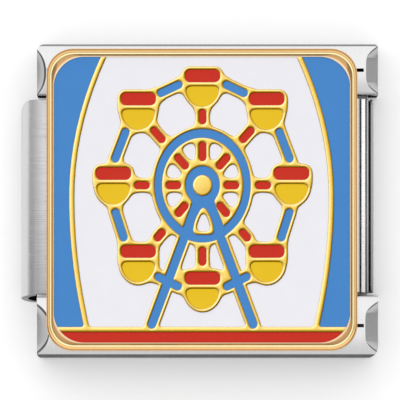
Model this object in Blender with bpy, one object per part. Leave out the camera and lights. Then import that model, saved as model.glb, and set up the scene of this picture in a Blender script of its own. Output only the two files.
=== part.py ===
"""One link of a modular charm bracelet: a folded steel link body with a sprung hook,
carrying a gold rimmed enamel plaque with a raised line picture of a fairground wheel.

The link lies on its back. +X is to the right, +Y is the top of the picture and +Z is
the face. Shapes are drawn in millimetres and turned to metres when they are finished.
"""
import math

import bmesh
import bpy
import numpy as np
from mathutils import Matrix, Vector

MM = 0.001

# Link body, a folded sheet with its sides turned down and in
BODY_LEFT = -4.665
BODY_RIGHT = 5.134
BODY_HALF_WIDTH = 4.51
BODY_TOP = 2.25
FACE_SHEET = 0.30
SIDE_SHEET = 0.26
EDGE_FOLD = 0.10
FOLD_STEPS = 5
# Radius of each upright corner fold by its side along X and along Y
CORNER_FOLDS = ((-1, 1, 0.22), (1, 1, 0.12), (-1, -1, 0.15), (1, -1, 0.34))
RAIL_THICK = 0.25
RAIL_IN = 1.21

# Notches between the corner ears: ends along Y, and how far they reach into the face
LEFT_NOTCH = (-2.735, 3.029)
LEFT_NOTCH_TO = -4.30
RIGHT_NOTCH = (-2.708, 3.037)
RIGHT_NOTCH_TO = 4.602

# Ground facets on the ears: centre along Y, half chord, depth inward
LEFT_FACETS = ((3.69, 0.69, 0.300), (-3.67, 0.74, 0.360))
RIGHT_FACETS = ((3.77, 0.71, 0.342), (-3.62, 0.75, 0.388))
# A facet drops by a steep step at its inner edge, and then slopes to the outside
FACET_STEP = 0.06
FACET_STEP_SLOPE = math.radians(68)
FACET_SLOPE = math.radians(42)
FACET_SEGMENTS = 72
FACET_REACH = 6.0

# Relief slits in the face beside the ears: inner end, outer end, centre along Y
SLITS = (
    (4.40, 4.723, 3.759),
    (4.40, 4.723, -3.575),
    (-4.45, -4.29, 3.764),
    (4.50, 4.65, RIGHT_NOTCH[1] - 0.05),
    (4.50, 4.65, RIGHT_NOTCH[0] + 0.05),
)
SLIT_WIDTH = 0.10

# Sliding hook on the left
HOOK_LEFT = -5.134
HOOK_ENDS = (-2.91, 2.925)
# Beside the body the hook is narrower, and the roll's near end is cut aslant
TONGUE_NEAR_END = -2.66
ROLL_TO = -4.69
ROLL_END_LEAN = math.radians(9.5)
HOOK_RADIUS = 0.75
HOOK_SHEET = 0.20
HOOK_TOP = 1.90
HOOK_END = math.radians(310)
HOOK_CORNER = 0.33
HOOK_TRAVEL = 2.0
SHOULDER_GAP = 0.03
TONGUE_LAP = 0.3
SLIDER_HALF_WIDTH = 4.19
SLIDER_RIGHT = 2.5

# Back plate with the catch lip for the next link's hook
BACK_LEFT = -3.45
BACK_SHEET = 0.175
BACK_HALF_WIDTH = 3.75
BACK_WIDE_TO = 4.85
LIP = (4.909, 5.018)
LIP_TOP = 1.55
LIP_ENDS = (-2.62, 2.935)
LIP_LAP = 0.3

# Strips that stand in the right notch
STRIP_ENDS = (-2.62, 2.935)
STOP_BAR = (4.653, 4.763)
STOP_BAR_TOP = 2.15
SPRING_LEAF = (4.811, 4.860)
SPRING_LEAF_TOP = 1.80

# Plaque: centre, half sizes and corner radius of the rim's outside
PLAQUE_CENTRE = (0.074, 0.030)
PLAQUE_HALF = (4.456, 4.332)
PLAQUE_CORNER = 0.76
FIELD_CORNER = 0.73
RIM_WIDTH = 0.215
RIM_HEIGHT = 0.35
RIM_BEVEL = 0.09
TRAY_THICK = 0.195
ENAMEL_THICK = 0.200
LINE_HEIGHT = 0.080
INLAY_HEIGHT = 0.035

# Picture: curtain lines, ground line and the wheel, in millimetres from the link's centre
CURTAIN_CENTRE = 0.062
CURTAIN_BOW = 3.722
CURTAIN_WIDEST = 0.10
CURTAIN_CURVE_UP = 0.0565
CURTAIN_CURVE_DOWN = 0.0310
CURTAIN_LINE = 0.155
GROUND_Y = -3.690
GROUND_LINE = 0.155
BORDER = 0.100
FILLET = 0.24
CURTAIN_FILLET = 0.08
FOOT_FILLET = 0.10

WHEEL_X = 0.092
HUB_Y = 0.437
WHEEL_RING = (1.374, 1.615)
WHEEL_RING_INSIDE = (1.170, 1.376)
HUB_RING = (0.489, 0.552)
HUB_DISC = (0.282, 0.305)

# Gondolas: offset along X and height of the roof's centre
GONDOLAS = (
    (0.000, 3.580),
    (1.842, 2.917),
    (2.553, 0.779),
    (1.842, -1.454),
    (0.000, -2.224),
)
ROOF_SIZE = (1.00, 0.355)
ROOF_CORNER = 0.15
TUB_SIZE = (0.96, 0.58)
TUB_DROP = 0.300
TUB_CORNER = 0.09

# Blue rim strokes between gondolas, each as two ends on the right half
RIM_STROKES = (
    ((0.690, 3.319), (1.185, 3.086)),
    ((2.207, 1.957), (2.494, 1.204)),
    ((2.488, -0.345), (2.261, -1.055)),
)
LOW_STROKE = ((0.707, -2.460), (1.264, -2.184))
STROKE_WIDTH = 0.215

# Spokes: angle from +X, distance of the middle from the hub, length
OUTER_SPOKES = (
    (90, 1.966, 0.42),
    (48.5, 1.926, 0.53),
    (0, 1.737, 0.44),
    (-49.5, 1.879, 0.39),
    (-90, 2.037, 0.52),
)
INNER_SPOKES = (
    (90, 0.971, 0.54),
    (48.5, 0.900, 0.50),
    (0, 0.830, 0.43),
    (-49.5, 0.917, 0.47),
)
SPOKE_WIDTH = 0.212

# Legs of the A frame: start beside the hub and foot, on the right half
LEG = ((0.170, -0.115), (1.450, -3.545))
LEG_WIDTH = 0.230
# The legs widen inside the ring: half width at a height below the hub, and its growth
FLARE_X = 0.118
FLARE_FROM = (0.349, -0.158)
FLARE_GROWTH = 0.37
NECK_FILLET = 0.10
JOIN_FILLET = 0.05
# Gold triangle between the legs: its bowed sides as circles, its base and its corners
BRACE_SIDE_CENTRE = (1.007, -0.988)
BRACE_SIDE_RADIUS = 1.32
BRACE_BASE = -0.985
BRACE_CORNER = 0.17
BRACE_BORDER = 0.105

# Gaps that keep neighbouring solids apart, and the grid the outlines are read on
SEAT_GAP = 0.005
INLAY_GAP = 0.014
PAST = 1.0
LEVEL_TOLERANCE = 0.0001
GRID_STEP = 0.02
SHORTEST_LOOP = 8
OUTLINE_TOLERANCE = 0.004

FINISHES = {
    "polished_steel": ((0.78, 0.78, 0.78), 0.18, 1.0),
    "spring_steel": ((0.62, 0.62, 0.63), 0.25, 1.0),
    "rose_gold": ((0.90, 0.66, 0.38), 0.20, 1.0),
    "yellow_gold": ((0.98, 0.80, 0.30), 0.22, 1.0),
    "white_enamel": ((0.84, 0.83, 0.88), 0.12, 0.0),
    "blue_enamel": ((0.07, 0.25, 0.59), 0.12, 0.0),
    "red_enamel": ((0.60, 0.03, 0.02), 0.12, 0.0),
    "yellow_enamel": ((0.81, 0.54, 0.02), 0.12, 0.0),
}


def clear_scene():
    for obj in list(bpy.data.objects):
        bpy.data.objects.remove(obj, do_unlink=True)


def new_collection(name, hidden=False):
    collection = bpy.data.collections.new(name)
    bpy.context.scene.collection.children.link(collection)
    collection.hide_render = hidden
    return collection


def finish_material(name):
    """The Principled material of one finish, made once."""
    if name in bpy.data.materials:
        return bpy.data.materials[name]
    colour, roughness, metallic = FINISHES[name]
    material = bpy.data.materials.new(name)
    material.use_nodes = True
    shader = material.node_tree.nodes["Principled BSDF"]
    shader.inputs["Base Color"].default_value = (*colour, 1.0)
    shader.inputs["Roughness"].default_value = roughness
    shader.inputs["Metallic"].default_value = metallic
    material.diffuse_color = (*colour, 1.0)
    return material


def mesh_object(name, mesh, collection):
    obj = bpy.data.objects.new(name, mesh)
    collection.objects.link(obj)
    return obj


def evaluated_mesh(obj):
    """A plain mesh of the object with its modifiers applied and its place kept."""
    bpy.context.view_layer.update()
    graph = bpy.context.evaluated_depsgraph_get()
    mesh = bpy.data.meshes.new_from_object(obj.evaluated_get(graph))
    mesh.transform(obj.matrix_world)
    return mesh


def weld(mesh, distance=0.0001, turn_faces_out=True):
    bm = bmesh.new()
    bm.from_mesh(mesh)
    bmesh.ops.remove_doubles(bm, verts=bm.verts, dist=distance)
    if turn_faces_out:
        bmesh.ops.recalc_face_normals(bm, faces=bm.faces)
    bm.to_mesh(mesh)
    bm.free()


def box(name, low, high, collection):
    """A box between two corners, in millimetres."""
    bm = bmesh.new()
    bmesh.ops.create_cube(bm, size=1.0)
    size = Vector(high) - Vector(low)
    centre = (Vector(high) + Vector(low)) / 2
    bmesh.ops.scale(bm, vec=size, verts=bm.verts)
    bmesh.ops.translate(bm, vec=centre, verts=bm.verts)
    mesh = bpy.data.meshes.new(name)
    bm.to_mesh(mesh)
    bm.free()
    return mesh_object(name, mesh, collection)


def bevel_edges(obj, chosen, width, segments):
    """Rounds the edges of a box for which chosen(edge) holds."""
    bm = bmesh.new()
    bm.from_mesh(obj.data)
    edges = [edge for edge in bm.edges if chosen(edge)]
    bmesh.ops.bevel(
        bm, geom=edges, offset=width, segments=segments, profile=0.5, affect="EDGES", material=-1
    )
    bm.to_mesh(obj.data)
    bm.free()


def prism(name, loops, low, high, collection):
    """Closed outlines filled as one flat shape and raised from low to high along Z."""
    curve = bpy.data.curves.new(name, "CURVE")
    curve.dimensions = "2D"
    curve.fill_mode = "BOTH"
    curve.extrude = (high - low) / 2
    for loop in loops:
        spline = curve.splines.new("POLY")
        spline.points.add(len(loop) - 1)
        for point, (x, y) in zip(spline.points, loop):
            point.co = (x, y, 0.0, 1.0)
        spline.use_cyclic_u = True
    outline = bpy.data.objects.new(name, curve)
    outline.location.z = (high + low) / 2
    collection.objects.link(outline)
    mesh = evaluated_mesh(outline)
    bpy.data.objects.remove(outline, do_unlink=True)
    weld(mesh)
    return mesh_object(name, mesh, collection)


def boolean(obj, other, operation):
    """Applies one Boolean and keeps the result as the object's own mesh."""
    modifier = obj.modifiers.new(other.name, "BOOLEAN")
    modifier.operation = operation
    modifier.object = other
    modifier.solver = "EXACT"
    mesh = evaluated_mesh(obj)
    obj.modifiers.clear()
    obj.data = mesh
    weld(mesh, 0.00002, turn_faces_out=False)


def finish(obj, finish_name, smooth=True):
    """Turns millimetres to metres and gives the piece its material and shading."""
    obj.data.transform(Matrix.Scale(MM, 4))
    obj.data.materials.clear()
    obj.data.materials.append(finish_material(finish_name))
    if smooth:
        obj.data.shade_smooth()
        obj.data.set_sharp_from_angle(angle=math.radians(30))
    return obj


def arc(centre, radius, start, end, steps):
    """Points along an arc, start to end in radians."""
    angles = [start + (end - start) * i / steps for i in range(steps + 1)]
    return [(centre[0] + radius * math.cos(a), centre[1] + radius * math.sin(a)) for a in angles]


def round_rectangle(low, high, radius, steps=6):
    """A rectangle's outline with round corners, anticlockwise."""
    points = []
    corners = (
        (high[0] - radius, high[1] - radius, 0.0),
        (low[0] + radius, high[1] - radius, 0.5),
        (low[0] + radius, low[1] + radius, 1.0),
        (high[0] - radius, low[1] + radius, 1.5),
    )
    for x, y, turn in corners:
        points += arc((x, y), radius, turn * math.pi, (turn + 0.5) * math.pi, steps)
    return points


def tilted_cylinder(name, side, facet, slope, level, cutters):
    """A cylinder tilted by slope, which meets the plane at level in the facet's arc."""
    centre, half_chord, depth = facet
    sagitta = depth * math.sin(slope)
    radius = (half_chord**2 + sagitta**2) / (2 * sagitta)
    outer = BODY_RIGHT if side > 0 else BODY_LEFT
    along = Vector((side * math.cos(slope), 0.0, -math.sin(slope)))
    outward = Vector((side * math.sin(slope), 0.0, math.cos(slope)))
    axis_point = Vector((outer - side * depth, centre, level)) + outward * radius
    bm = bmesh.new()
    bmesh.ops.create_cone(
        bm,
        cap_ends=True,
        segments=FACET_SEGMENTS,
        radius1=radius,
        radius2=radius,
        depth=FACET_REACH,
    )
    turn = along.to_track_quat("Z", "Y").to_matrix().to_4x4()
    bmesh.ops.transform(bm, matrix=Matrix.Translation(axis_point) @ turn, verts=bm.verts)
    mesh = bpy.data.meshes.new(name)
    bm.to_mesh(mesh)
    bm.free()
    return mesh_object(name, mesh, cutters)


def facet_cutter(name, side, facet, cutters):
    """Grinds one curved facet, with a steep step along its inner edge, into an ear."""
    level = BODY_TOP - FACET_STEP
    cutter = tilted_cylinder(name, side, facet, FACET_SLOPE, level, cutters)
    step = tilted_cylinder(name + "_step", side, facet, FACET_STEP_SLOPE, BODY_TOP, cutters)
    boolean(cutter, step, "INTERSECT")
    return cutter


def make_link_body(parts, cutters):
    """The folded sheet: face, sides turned down, rails turned in and four ears."""
    body = box(
        "link_body",
        (BODY_LEFT, -BODY_HALF_WIDTH, 0.0),
        (BODY_RIGHT, BODY_HALF_WIDTH, BODY_TOP),
        parts,
    )

    for side_x, side_y, radius in CORNER_FOLDS:

        def upright(edge):
            a, b = edge.verts
            tall = abs(a.co.z - b.co.z) > BODY_TOP / 2
            beyond = min(side_x * a.co.x, side_x * b.co.x, side_y * a.co.y, side_y * b.co.y)
            return tall and beyond > BODY_HALF_WIDTH - LEVEL_TOLERANCE

        bevel_edges(body, upright, radius, FOLD_STEPS)

    def at_face(edge):
        return all(v.co.z > BODY_TOP - LEVEL_TOLERANCE for v in edge.verts)

    bevel_edges(body, at_face, EDGE_FOLD, FOLD_STEPS)
    inner_y = BODY_HALF_WIDTH - SIDE_SHEET
    inner_left = BODY_LEFT + SIDE_SHEET
    inner_right = BODY_RIGHT - SIDE_SHEET
    slot_y = BODY_HALF_WIDTH - RAIL_IN
    cuts = [
        box(
            "inside_cut",
            (inner_left, -inner_y, RAIL_THICK),
            (inner_right, inner_y, BODY_TOP - FACE_SHEET),
            cutters,
        ),
        box(
            "back_slot_cut",
            (inner_left, -slot_y, -PAST),
            (inner_right, slot_y, 1.5 * RAIL_THICK),
            cutters,
        ),
        box(
            "left_notch_cut",
            (BODY_LEFT - PAST, LEFT_NOTCH[0], -PAST),
            (LEFT_NOTCH_TO, LEFT_NOTCH[1], BODY_TOP + PAST),
            cutters,
        ),
        box(
            "right_notch_cut",
            (RIGHT_NOTCH_TO, RIGHT_NOTCH[0], -PAST),
            (BODY_RIGHT + PAST, RIGHT_NOTCH[1], BODY_TOP + PAST),
            cutters,
        ),
    ]
    for index, (start, end, centre) in enumerate(SLITS):
        low = (start, centre - SLIT_WIDTH / 2, BODY_TOP - 1.2 * FACE_SHEET)
        high = (end, centre + SLIT_WIDTH / 2, BODY_TOP + PAST)
        cuts.append(box(f"slit_cut_{index + 1}", low, high, cutters))
    for side, facets in ((-1, LEFT_FACETS), (1, RIGHT_FACETS)):
        for index, facet in enumerate(facets):
            name = f"facet_cut_{'left' if side < 0 else 'right'}_{index + 1}"
            cuts.append(facet_cutter(name, side, facet, cutters))
    for cut in cuts:
        boolean(body, cut, "DIFFERENCE")
    return finish(body, "polished_steel")


def make_sliding_hook(parts, cutters):
    """A tongue rolled into an open hook, with a wide plate and two runners inside."""
    centre = (HOOK_LEFT + HOOK_RADIUS, HOOK_TOP - HOOK_RADIUS)
    shoulder = BODY_LEFT + SIDE_SHEET + HOOK_TRAVEL + SHOULDER_GAP
    inner = HOOK_RADIUS - HOOK_SHEET
    tongue_end = shoulder + TONGUE_LAP
    profile = [(tongue_end, HOOK_TOP - HOOK_SHEET), (tongue_end, HOOK_TOP)]
    profile += arc(centre, HOOK_RADIUS, math.pi / 2, HOOK_END, 20)
    profile += arc(centre, inner, HOOK_END, math.pi / 2, 18)
    near, far = HOOK_ENDS
    hook = prism("sliding_hook", [profile], -far, -near, parts)
    hook.data.transform(Matrix.Rotation(math.pi / 2, 4, "X"))
    corner = (HOOK_LEFT + HOOK_CORNER, far - HOOK_CORNER)
    plan = [(HOOK_LEFT, near), (ROLL_TO, near), (ROLL_TO, TONGUE_NEAR_END)]
    plan += [(tongue_end + PAST, TONGUE_NEAR_END), (tongue_end + PAST, far)]
    plan += arc(corner, HOOK_CORNER, math.pi / 2, math.pi, 8)
    plan_cut = prism("hook_plan_cut", [plan], -PAST, BODY_TOP + PAST, cutters)
    boolean(hook, plan_cut, "INTERSECT")
    aslant = box(
        "roll_end_cut", (HOOK_LEFT - PAST, -2 * PAST, -2 * PAST), (ROLL_TO, 0.0, 2 * PAST), cutters
    )
    aslant.data.transform(Matrix.Rotation(-ROLL_END_LEAN, 4, "X"))
    aslant.data.transform(Matrix.Translation((0.0, TONGUE_NEAR_END, HOOK_TOP)))
    boolean(hook, aslant, "DIFFERENCE")
    plate = box(
        "slider_plate",
        (shoulder, -SLIDER_HALF_WIDTH, HOOK_TOP - HOOK_SHEET),
        (SLIDER_RIGHT, SLIDER_HALF_WIDTH, HOOK_TOP),
        cutters,
    )
    boolean(hook, plate, "UNION")
    for side in (-1, 1):
        edge = side * SLIDER_HALF_WIDTH
        inside = side * (SLIDER_HALF_WIDTH - HOOK_SHEET)
        runner = box(
            f"slider_runner_{'near' if side < 0 else 'far'}",
            (shoulder, min(edge, inside), RAIL_THICK + 2 * SEAT_GAP),
            (SLIDER_RIGHT, max(edge, inside), HOOK_TOP - HOOK_SHEET / 2),
            cutters,
        )
        boolean(hook, runner, "UNION")
    return finish(hook, "polished_steel")


def make_back_plate(parts, cutters):
    """The plate on the rails, whose right end turns up as the catch lip."""
    low = RAIL_THICK + SEAT_GAP
    top = low + BACK_SHEET
    back = box(
        "back_plate",
        (BACK_LEFT, -BACK_HALF_WIDTH, low),
        (BACK_WIDE_TO, BACK_HALF_WIDTH, top),
        parts,
    )
    radius = (LIP[1] - LIP[0]) / 2
    lip_centre = ((LIP[0] + LIP[1]) / 2, LIP_TOP - radius)
    lap = BACK_WIDE_TO - LIP_LAP
    profile = [(lap, low), (LIP[1], low)]
    profile += arc(lip_centre, radius, 0.0, math.pi, 6)
    profile += [(LIP[0], top), (lap, top)]
    lip = prism("catch_lip", [profile], -LIP_ENDS[1], -LIP_ENDS[0], cutters)
    lip.data.transform(Matrix.Rotation(math.pi / 2, 4, "X"))
    boolean(back, lip, "UNION")
    return finish(back, "polished_steel")


def make_notch_strips(parts):
    """The stop bar and the spring leaf, which show in the right notch."""
    seat = RAIL_THICK + BACK_SHEET + 2 * SEAT_GAP
    bar = box(
        "stop_bar",
        (STOP_BAR[0], STRIP_ENDS[0], seat),
        (STOP_BAR[1], STRIP_ENDS[1], STOP_BAR_TOP),
        parts,
    )
    finish(bar, "polished_steel")
    leaf = box(
        "spring_leaf",
        (SPRING_LEAF[0], STRIP_ENDS[0], seat),
        (SPRING_LEAF[1], STRIP_ENDS[1], SPRING_LEAF_TOP),
        parts,
    )
    finish(leaf, "spring_steel")


def plaque_outline(inset, corner):
    """The rim's outline moved inward, with its own corner radius."""
    cx, cy = PLAQUE_CENTRE
    hx, hy = PLAQUE_HALF[0] - inset, PLAQUE_HALF[1] - inset
    return round_rectangle((cx - hx, cy - hy), (cx + hx, cy + hy), corner, 8)


def make_plaque_tray(parts, cutters):
    """The gold tray: a flat base with a raised rim round it."""
    base = BODY_TOP + SEAT_GAP
    outside = plaque_outline(0.0, PLAQUE_CORNER)
    inside = plaque_outline(RIM_WIDTH, FIELD_CORNER)
    tray = prism("plaque_tray", [outside], base, base + TRAY_THICK, parts)
    foot = base + TRAY_THICK / 2
    top = base + TRAY_THICK + RIM_HEIGHT
    rim = prism("rim_wall", [outside, inside], foot, top, cutters)
    boolean(tray, rim, "UNION")

    def at_top(edge):
        return all(v.co.z > top - LEVEL_TOLERANCE for v in edge.verts) and any(
            abs(face.normal.z) < 0.5 for face in edge.link_faces
        )

    bm = bmesh.new()
    bm.from_mesh(tray.data)
    bmesh.ops.dissolve_limit(
        bm, angle_limit=math.radians(0.06), verts=bm.verts, edges=bm.edges
    )
    bm.to_mesh(tray.data)
    bm.free()
    bevel_edges(tray, at_top, RIM_BEVEL, 1)
    return finish(tray, "rose_gold")


# Distance fields over the plaque, in millimetres, negative inside a shape


def field_grid():
    cx, cy = PLAQUE_CENTRE
    xs = np.arange(cx - PLAQUE_HALF[0] - 0.1, cx + PLAQUE_HALF[0] + 0.1, GRID_STEP)
    ys = np.arange(cy - PLAQUE_HALF[1] - 0.1, cy + PLAQUE_HALF[1] + 0.1, GRID_STEP)
    return np.meshgrid(xs, ys, indexing="xy")


X, Y = field_grid()


def rectangle_field(centre, half, radius):
    dx = np.abs(X - centre[0]) - (half[0] - radius)
    dy = np.abs(Y - centre[1]) - (half[1] - radius)
    outside = np.hypot(np.maximum(dx, 0), np.maximum(dy, 0))
    return outside + np.minimum(np.maximum(dx, dy), 0) - radius


def ellipse_field(centre, half):
    x, y = X - centre[0], Y - centre[1]
    scaled = np.hypot(x / half[0], y / half[1])
    slope = np.hypot(x / half[0] ** 2, y / half[1] ** 2) + 1e-9
    return scaled * (scaled - 1) / slope


def stroke_field(points, width):
    """A line through the points with round ends."""
    found = np.full(X.shape, 1e3)
    for (ax, ay), (bx, by) in zip(points, points[1:]):
        run = np.array((bx - ax, by - ay))
        share = ((X - ax) * run[0] + (Y - ay) * run[1]) / run.dot(run)
        share = np.clip(share, 0, 1)
        found = np.minimum(found, np.hypot(X - ax - share * run[0], Y - ay - share * run[1]))
    return found - width / 2


def soft_union(a, b, radius=FILLET):
    """The lesser of two fields, with the corner between them filled in."""
    mix = np.maximum(radius - np.abs(a - b), 0) / radius
    return np.minimum(a, b) - mix * mix * radius / 4


def soft_overlap(a, b, radius):
    return -soft_union(-a, -b, radius)


def tray_field():
    """The tray's floor inside the rim."""
    half = (PLAQUE_HALF[0] - RIM_WIDTH, PLAQUE_HALF[1] - RIM_WIDTH)
    return rectangle_field(PLAQUE_CENTRE, half, FIELD_CORNER)


def curtain_half(y):
    """Half the distance between the curtain lines at a height."""
    rise = y - CURTAIN_WIDEST
    curve = np.where(rise > 0, CURTAIN_CURVE_UP, CURTAIN_CURVE_DOWN)
    return CURTAIN_BOW - curve * rise * rise


def curtain_field():
    """Distance from the nearer curtain line, positive outside the pair."""
    rise = Y - CURTAIN_WIDEST
    curve = np.where(rise > 0, CURTAIN_CURVE_UP, CURTAIN_CURVE_DOWN)
    lean = np.sqrt(1 + (2 * curve * rise) ** 2)
    return (np.abs(X - CURTAIN_CENTRE) - curtain_half(Y)) / lean


def mirrored(point, side):
    return (WHEEL_X + side * point[0], point[1])


def roof_field(centre):
    return rectangle_field(centre, (ROOF_SIZE[0] / 2, ROOF_SIZE[1] / 2), ROOF_CORNER)


def tub_field(centre):
    """A half moon hung below the roof: round underneath and flat on top."""
    level = centre[1] - TUB_DROP
    bowl = ellipse_field((centre[0], level), (TUB_SIZE[0] / 2, TUB_SIZE[1]))
    return soft_overlap(bowl, Y - level, TUB_CORNER * 2)


def spoke_field(angle, distance, length):
    turn = math.radians(angle)
    ends = []
    for sign in (-1, 1):
        reach = distance + sign * (length - SPOKE_WIDTH) / 2
        ends.append((WHEEL_X + reach * math.cos(turn), HUB_Y + reach * math.sin(turn)))
    return stroke_field(ends, SPOKE_WIDTH)


def both_sides(rows, central):
    """Each row once where it is on the centre line, or else once a side, with its name."""
    names = ("top", "upper", "middle", "lower", "bottom")
    for name, row in zip(names, rows):
        if central(row):
            yield name, 1, row
        else:
            yield name + "_right", 1, row
            yield name + "_left", -1, row


def pocket_fields():
    """Every enamel pocket of the wheel as name, field and finish."""
    pockets = []
    for name, side, row in both_sides(GONDOLAS, lambda row: row[0] == 0):
        centre = mirrored(row, side)
        pockets.append(("roof_" + name, roof_field(centre), "red_enamel"))
        pockets.append(("tub_" + name, tub_field(centre), "yellow_enamel"))
    for level, stroke in zip(("upper", "middle", "lower"), RIM_STROKES):
        for side, word in ((1, "right"), (-1, "left")):
            ends = [mirrored(point, side) for point in stroke]
            field = stroke_field(ends, STROKE_WIDTH)
            pockets.append((f"rim_stroke_{level}_{word}", field, "blue_enamel"))

    def upright(row):
        return abs(row[0]) == 90

    for kind, rows in (("outer", OUTER_SPOKES), ("inner", INNER_SPOKES)):
        for name, side, (angle, distance, length) in both_sides(rows, upright):
            turned = 180 - angle if side < 0 else angle
            field = spoke_field(turned, distance, length)
            pockets.append((f"{kind}_spoke_{name}", field, "red_enamel"))
    return pockets


def a_frame_field():
    """The blue pocket: ring, hub ring, and legs that widen inside the ring."""
    centre = (WHEEL_X, HUB_Y)
    wheel = ellipse_field(centre, WHEEL_RING)
    ring = np.maximum(wheel, -ellipse_field(centre, WHEEL_RING_INSIDE))
    hub_ring = ellipse_field(centre, HUB_RING)
    flare = np.abs(X - FLARE_X) - FLARE_FROM[0] - FLARE_GROWTH * (FLARE_FROM[1] - Y)
    flare = np.maximum(flare / math.hypot(1, FLARE_GROWTH), Y - HUB_Y)
    flare = np.maximum(flare, wheel)
    solid = soft_union(soft_union(ring, flare, JOIN_FILLET), hub_ring, NECK_FILLET)
    for side in (-1, 1):
        leg = stroke_field([mirrored(point, side) for point in LEG], LEG_WIDTH)
        solid = np.minimum(solid, leg)
        low = stroke_field([mirrored(point, side) for point in LOW_STROKE], STROKE_WIDTH)
        solid = soft_union(solid, low, JOIN_FILLET)
    return solid


def brace_field():
    """The triangle between the legs, with bowed sides and round corners."""
    offset, level = BRACE_SIDE_CENTRE
    sides = [
        np.hypot(X - FLARE_X + side * offset, Y - level) - BRACE_SIDE_RADIUS for side in (-1, 1)
    ]
    return soft_overlap(soft_overlap(*sides, BRACE_CORNER), BRACE_BASE - Y, BRACE_CORNER)


def loops_of(field):
    """Closed outlines where the field passes through zero, found cell by cell."""
    inside = field < 0
    cells = inside[:-1, :-1].astype(int) + inside[:-1, 1:] + inside[1:, 1:] + inside[1:, :-1]
    following = {}
    for row, col in np.argwhere((cells > 0) & (cells < 4)):
        corners = ((row, col), (row, col + 1), (row + 1, col + 1), (row + 1, col))
        marks = [inside[corner] for corner in corners]
        leaving = []
        entering = []
        for i in range(4):
            j = (i + 1) % 4
            if marks[i] == marks[j]:
                continue
            edge = tuple(sorted((corners[i], corners[j])))
            (leaving if marks[i] else entering).append((i, edge))
        for i, edge in leaving:
            nearest = min(entering, key=lambda item: (item[0] - i) % 4)
            following[edge] = nearest[1]
    loops = []
    while following:
        edge = next(iter(following))
        loop = []
        while edge in following:
            loop.append(crossing(field, edge))
            edge = following.pop(edge)
        loops.append(loop)
    return [simplified(loop) for loop in loops if len(loop) > SHORTEST_LOOP]


def crossing(field, edge):
    """The point on a grid edge where the field is zero."""
    a, b = edge
    share = field[a] / (field[a] - field[b])
    return np.array((X[a] + share * (X[b] - X[a]), Y[a] + share * (Y[b] - Y[a])))


def simplified(loop):
    """The loop with only the points that its shape needs."""
    points = np.array(loop)
    far = int(np.argmax(np.linalg.norm(points - points[0], axis=1)))
    closed = np.vstack([points, points[:1]])
    keep = {0, far}
    stack = [(0, far), (far, len(points))]
    while stack:
        start, end = stack.pop()
        if end - start < 2:
            continue
        run = closed[end] - closed[start]
        offset = closed[start + 1 : end] - closed[start]
        away = np.abs(offset[:, 0] * run[1] - offset[:, 1] * run[0]) / np.hypot(*run)
        worst = int(np.argmax(away))
        if away[worst] > OUTLINE_TOLERANCE:
            middle = start + 1 + worst
            keep.add(middle)
            stack += [(start, middle), (middle, end)]
    return [tuple(points[i]) for i in sorted(keep) if i < len(points)]


def area_of(loop):
    """The area inside the loop, negative for a hole, which turns the other way."""
    xs, ys = np.array(loop).T
    return 0.5 * float(np.dot(xs, np.roll(ys, -1)) - np.dot(ys, np.roll(xs, -1)))


def contains(loop, point):
    """Whether the point lies inside the loop."""
    found = False
    for (ax, ay), (bx, by) in zip(loop, loop[1:] + loop[:1]):
        if (ay > point[1]) != (by > point[1]):
            if point[0] < ax + (point[1] - ay) * (bx - ax) / (by - ay):
                found = not found
    return found


def bodies_of(field):
    """Each separate flat body of the field, largest first, as its outer loop and its holes."""
    loops = sorted(loops_of(field), key=area_of)
    bodies = [[loop] for loop in loops if area_of(loop) > 0]
    for hole in loops:
        if area_of(hole) > 0:
            continue
        smallest = next(body for body in bodies if contains(body[0], hole[0]))
        smallest.append(hole)
    return bodies[::-1]


def make_enamel_fields(parts):
    """White field, blue side panels and red ground, flat in the tray."""
    low = BODY_TOP + TRAY_THICK + 2 * SEAT_GAP
    high = low + ENAMEL_THICK
    inside = tray_field()
    curtain = curtain_field()
    above = GROUND_Y - Y
    left = X - CURTAIN_CENTRE
    sheets = (
        ("white_field", np.maximum(curtain, above), "white_enamel"),
        ("blue_panel_left", np.maximum(np.maximum(-curtain, above), left), "blue_enamel"),
        ("blue_panel_right", np.maximum(np.maximum(-curtain, above), -left), "blue_enamel"),
        ("red_ground", -above, "red_enamel"),
    )
    for name, shape, finish_name in sheets:
        field = np.maximum(inside, shape) + INLAY_GAP
        finish(prism(name, loops_of(field), low, high, parts), finish_name)


def make_gold_lines(parts, pockets, frame, brace):
    """The raised gold lines: one net, the inner spokes' net, the brace and the hub disc."""
    low = BODY_TOP + TRAY_THICK + ENAMEL_THICK + 3 * SEAT_GAP
    high = low + LINE_HEIGHT
    curtain = np.maximum(np.abs(curtain_field()) - CURTAIN_LINE / 2, GROUND_Y - Y)
    ground = np.abs(Y - GROUND_Y) - GROUND_LINE / 2
    solid = soft_union(ground, curtain, CURTAIN_FILLET)
    figure = frame - BORDER
    for name, field, finish_name in pockets:
        figure = soft_union(figure, field - BORDER)
    solid = soft_union(solid, figure, FOOT_FILLET)
    solid = np.maximum(solid, GROUND_Y - GROUND_LINE / 2 - Y)
    for name, field, finish_name in pockets:
        solid = np.maximum(solid, -field)
    solid = np.maximum(solid, -frame)
    solid = np.minimum(solid, np.maximum(brace, -brace - BRACE_BORDER))
    disc = ellipse_field((WHEEL_X, HUB_Y), HUB_DISC)
    solid = np.minimum(solid, disc)
    solid = np.maximum(solid, tray_field() + INLAY_GAP)
    names = ("gold_lines", "wheel_inner_lines", "brace_lines", "hub_disc")
    for name, body in zip(names, bodies_of(solid)):
        finish(prism(name, body, low, high, parts), "yellow_gold")
    return disc


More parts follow.
